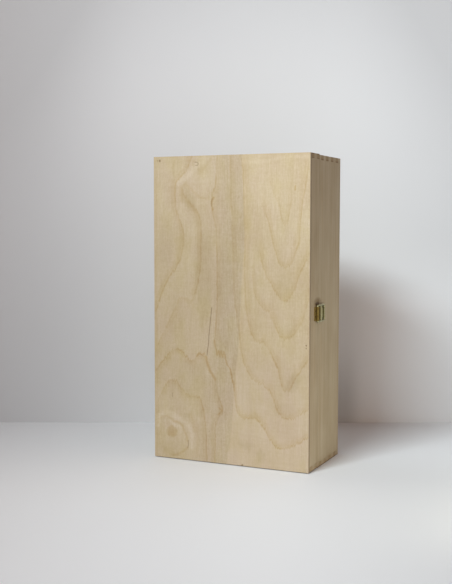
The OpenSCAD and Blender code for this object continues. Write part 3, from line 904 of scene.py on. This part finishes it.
def make_camera():
    """The camera, in front of the box, to its right and a little above its middle."""
    ahead = turned_down(HEADING, CAMERA_DROP)
    lean = Matrix.Rotation(-CAMERA_ROLL, 3, ahead)
    right, up = lean @ SIDEWAYS, lean @ SIDEWAYS.cross(ahead)
    turn = Matrix((right, up, -ahead)).transposed().to_4x4()
    camera = bpy.data.objects.new("camera", bpy.data.cameras.new("camera"))
    bpy.context.scene.collection.objects.link(camera)
    camera.matrix_world = Matrix.Translation(CAMERA_POINT * MM) @ turn
    camera.data.sensor_fit = "AUTO"
    camera.data.sensor_width = SENSOR
    camera.data.lens = LENS
    camera.data.clip_start = SIGHT_START * MM
    camera.data.clip_end = SIGHT_END * MM
    bpy.context.scene.camera = camera


def plane(name, corners, material):
    """One of the stage's two papers."""
    mesh = bpy.data.meshes.new(name)
    mesh.from_pydata([corner * MM for corner in corners], [], [(0, 1, 2, 3)])
    mesh.materials.append(material)
    piece = bpy.data.objects.new(name, mesh)
    bpy.context.scene.collection.objects.link(piece)


def stage_paint(name, first, second, graded):
    """Studio paper with painted light and shade. graded gives, for a place, how far the paper has
    turned from its first grey to its second, and how strongly the painted shade RIM_SHADE darkens
    it."""
    paint = Paint(name)
    place = paint.place()
    cloud = paint.noise(place, PAPER_CELL)
    fade, rim = graded(*place)
    colour = paint.stain(paint.mix(fade, first, second), rim, RIM_SHADE)
    normal = paint.relief(cloud * PAPER_RELIEF)
    return paint.surface(colour, cloud * 0.1 + 0.55, normal, specular=DULL)


def one_sided(material):
    """Seen from behind, the wall isn't there, so views from the back see past it."""
    tree = material.node_tree
    output = next(node for node in tree.nodes if node.type == "OUTPUT_MATERIAL")
    front = output.inputs["Surface"].links[0].from_socket
    side = tree.nodes.new("ShaderNodeNewGeometry")
    clear = tree.nodes.new("ShaderNodeBsdfTransparent")
    choose = tree.nodes.new("ShaderNodeMixShader")
    tree.links.new(side.outputs["Backfacing"], choose.inputs[0])
    tree.links.new(front, choose.inputs[1])
    tree.links.new(clear.outputs[0], choose.inputs[2])
    tree.links.new(choose.outputs[0], output.inputs["Surface"])
    return material


# The papers' greys: the change from near to far and from low to high is painted light and shade,
# and RIM_SHADE is painted shade towards the papers' rims
FLOOR_NEAR, FLOOR_FAR = linear(241, 241, 242), linear(219, 219, 220)
WALL_LOW, WALL_HIGH = linear(218, 218, 219), linear(239, 239, 240)
RIM_SHADE, RIM_MOST = (0.80, 0.80, 0.80), 1.2
PAPER_CELL = (60.0, 60.0, 60.0)

# Where each fade starts and where it is complete: on the floor, counted from the camera, and on
# the wall, aside from WALL_MIDDLE and up from the floor. WALL_RIM is a distance from WALL_MIDDLE,
# and the flanks are the wall's left and right, which darken before its rim does.
FLOOR_FADE, FLOOR_RIM = (880.0, 1290.0), (10.0, 230.0)
FLOOR_RIM_AWAY, FLOOR_RIM_REST = (1150.0, 980.0), 0.2
WALL_MIDDLE = (22.0, 150.0)
WALL_FADE, WALL_RIM = (0.0, 520.0), (280.0, 560.0)
LEFT_FLANK, RIGHT_FLANK, RIGHT_FLANK_HEIGHT = (-120, -290), (110, 310), (150, 260)
FLANK_SHARE = 0.6

# Light and shade painted in the box's shadow on the wall, as fades from the left, from the right
# and in height: its open part, where light is painted on the paper, and its deep part beside the
# box, where shade is painted on it
OPEN_SHADOW, OPEN_SHARE = ((136, 178), (300, 178), (192, 152)), 0.6
DEEP_SHADOW = ((60, 100), (162, 138), (120, 20))


def distance(x, y, direction):
    """How far a place lies from the camera in a level direction."""
    return (x - CAMERA_POINT.x) * direction.x + (y - CAMERA_POINT.y) * direction.y


def floor_grading(x, y, z):
    """Painted shade: the floor turns darker away from the camera, and to the right in front of the
    box.
    """
    away = distance(x, y, HEADING)
    rim = distance(x, y, SIDEWAYS).rise(*FLOOR_RIM)
    return away.rise(*FLOOR_FADE), rim * away.rise(*FLOOR_RIM_AWAY).lifted(FLOOR_RIM_REST)


def wall_grading(x, y, z):
    """Painted light and shade: the wall turns lighter upwards and darker towards the picture's
    edges, and lighter and darker in parts of the box's shadow.
    """
    aside, height = distance(x, y, SIDEWAYS) - WALL_MIDDLE[0], z - WALL_MIDDLE[1]
    from_middle = (aside.squared() + height.squared()).root()
    right_flank = aside.rise(*RIGHT_FLANK) * z.rise(*RIGHT_FLANK_HEIGHT)
    flank = aside.rise(*LEFT_FLANK).at_least(right_flank) * FLANK_SHARE

    def shadow(left, right, top):
        return aside.within(left, right) * z.rise(*top)

    # Painted light in the open part of the shadow, and painted shade at the rim, the flanks and the
    # deep part of the shadow
    light = shadow(*OPEN_SHADOW) * OPEN_SHARE
    dark = from_middle.rise(*WALL_RIM) + flank + shadow(*DEEP_SHADOW)
    return z.rise(*WALL_FADE) + light, dark.at_most(RIM_MOST)


def make_stage():
    """A floor, and a wall behind the box that faces the camera."""
    half = STAGE_SIZE / 2
    floor_paint = stage_paint("floor_paint", FLOOR_NEAR, FLOOR_FAR, floor_grading)
    corners = [Vector((x, y, 0)) for x, y in ((-half, -half), (half, -half), (half, half),
                                              (-half, half))]
    plane("floor", corners, floor_paint)
    foot = Vector((CAMERA_POINT.x, CAMERA_POINT.y, 0)) + HEADING * WALL_AWAY
    left, right, top = foot - SIDEWAYS * half, foot + SIDEWAYS * half, Vector((0, 0, half))
    wall_paint = stage_paint("wall_paint", WALL_LOW, WALL_HIGH, wall_grading)
    plane("wall", [left, right, right + top, left + top], one_sided(wall_paint))


# The key light stands in front, a little to the left and high, and is turned towards the right,
# so the light falls off to the left. A card low on the right lifts the foot of the latch side.
KEY_PLACE, KEY_SIZE = Vector((-183, -1489, 1570)), (760, 380)
KEY_AIM, KEY_DROP, KEY_SPREAD = math.radians(21.0), math.radians(38.0), math.radians(60.0)
KEY_POWER, KEY_COLOUR = 5.88, (0.83, 0.953, 1.0)
CARD_PLACE, CARD_TARGET, CARD_SIZE = Vector((370, -80, 48)), Vector((93, -50, 40)), (260, 70)
CARD_POWER, CARD_COLOUR, CARD_SPREAD = 0.136, (1.0, 0.98, 0.78), math.radians(180.0)
AMBIENT_COLOUR, AMBIENT_POWER = (1.0, 0.69, 0.60, 1.0), 0.285
BACKDROP_COLOUR = linear(214, 214, 215)


def lamp(name, place, beam, power, colour, size, spread):
    """A flat light of a size, which shines along beam."""
    data = bpy.data.lights.new(name, "AREA")
    data.energy = power
    data.color = colour
    data.shape = "RECTANGLE"
    data.size, data.size_y = (side * MM for side in size)
    data.spread = spread
    light = bpy.data.objects.new(name, data)
    light.location = place * MM
    light.rotation_mode = "QUATERNION"
    light.rotation_quaternion = beam.to_track_quat("-Z", "Y")
    bpy.context.scene.collection.objects.link(light)


def make_lights():
    """The key light and the card."""
    aim = Vector((math.sin(KEY_AIM), math.cos(KEY_AIM), 0))
    key_beam, card_beam = turned_down(aim, KEY_DROP), CARD_TARGET - CARD_PLACE
    lamp("key", KEY_PLACE, key_beam, KEY_POWER, KEY_COLOUR, KEY_SIZE, KEY_SPREAD)
    lamp("card", CARD_PLACE, card_beam, CARD_POWER, CARD_COLOUR, CARD_SIZE, CARD_SPREAD)


def make_world():
    """Dim warm light from all round. Where the camera and the metal look past the stage, they
    see the backdrop's grey."""
    world = bpy.data.worlds.new("studio")
    world.use_nodes = True
    tree = world.node_tree
    ambient = tree.nodes["Background"]
    ambient.inputs["Color"].default_value = AMBIENT_COLOUR
    ambient.inputs["Strength"].default_value = AMBIENT_POWER
    backdrop = tree.nodes.new("ShaderNodeBackground")
    backdrop.inputs["Color"].default_value = BACKDROP_COLOUR
    path = tree.nodes.new("ShaderNodeLightPath")
    seen = tree.nodes.new("ShaderNodeMath")
    seen.operation = "MAXIMUM"
    choose = tree.nodes.new("ShaderNodeMixShader")
    tree.links.new(path.outputs["Is Camera Ray"], seen.inputs[0])
    tree.links.new(path.outputs["Is Glossy Ray"], seen.inputs[1])
    tree.links.new(seen.outputs[0], choose.inputs[0])
    tree.links.new(ambient.outputs[0], choose.inputs[1])
    tree.links.new(backdrop.outputs[0], choose.inputs[2])
    tree.links.new(choose.outputs[0], tree.nodes["World Output"].inputs["Surface"])
    bpy.context.scene.world = world


make_camera()
make_stage()
make_lights()
make_world()
bpy.context.scene.view_settings.view_transform = "Standard"
